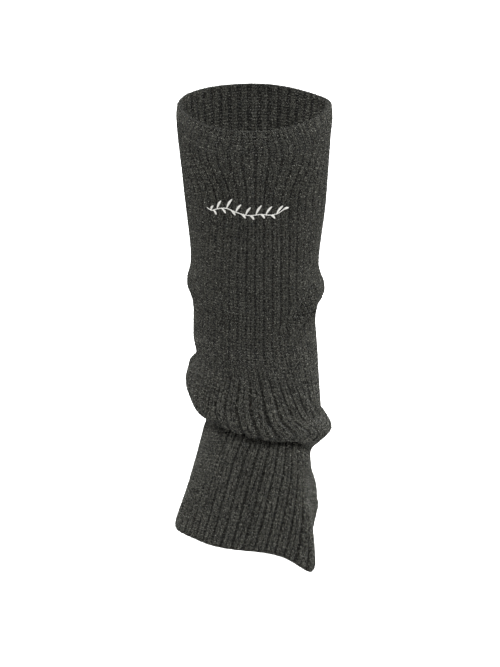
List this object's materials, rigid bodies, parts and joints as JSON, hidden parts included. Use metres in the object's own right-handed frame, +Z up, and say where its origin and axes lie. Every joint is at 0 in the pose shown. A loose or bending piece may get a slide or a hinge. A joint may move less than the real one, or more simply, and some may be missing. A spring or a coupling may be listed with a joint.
{
  "type": "leg warmer",
  "caption": "Slouched rib-knit leg warmer: an open charcoal tube, wide at the calf, gathered into an overhanging fold above the ankle and flaring to an uneven hem.",
  "frame": {"origin": "on the tube's axis, 25 mm below the top edge, where the top of the tube grips the leg", "axes": "+Z up the leg towards the top edge, -Y to the front, +X to the right as seen from the front"},
  "size_m": [0.128, 0.1238, 0.3896],
  "materials": {
    "charcoal_rib_knit": "matte, marled, slightly fuzzy"
  },
  "bodies": {
    "root": {"rib_knit_tube": "charcoal_rib_knit"}
  },
  "joints": []
}
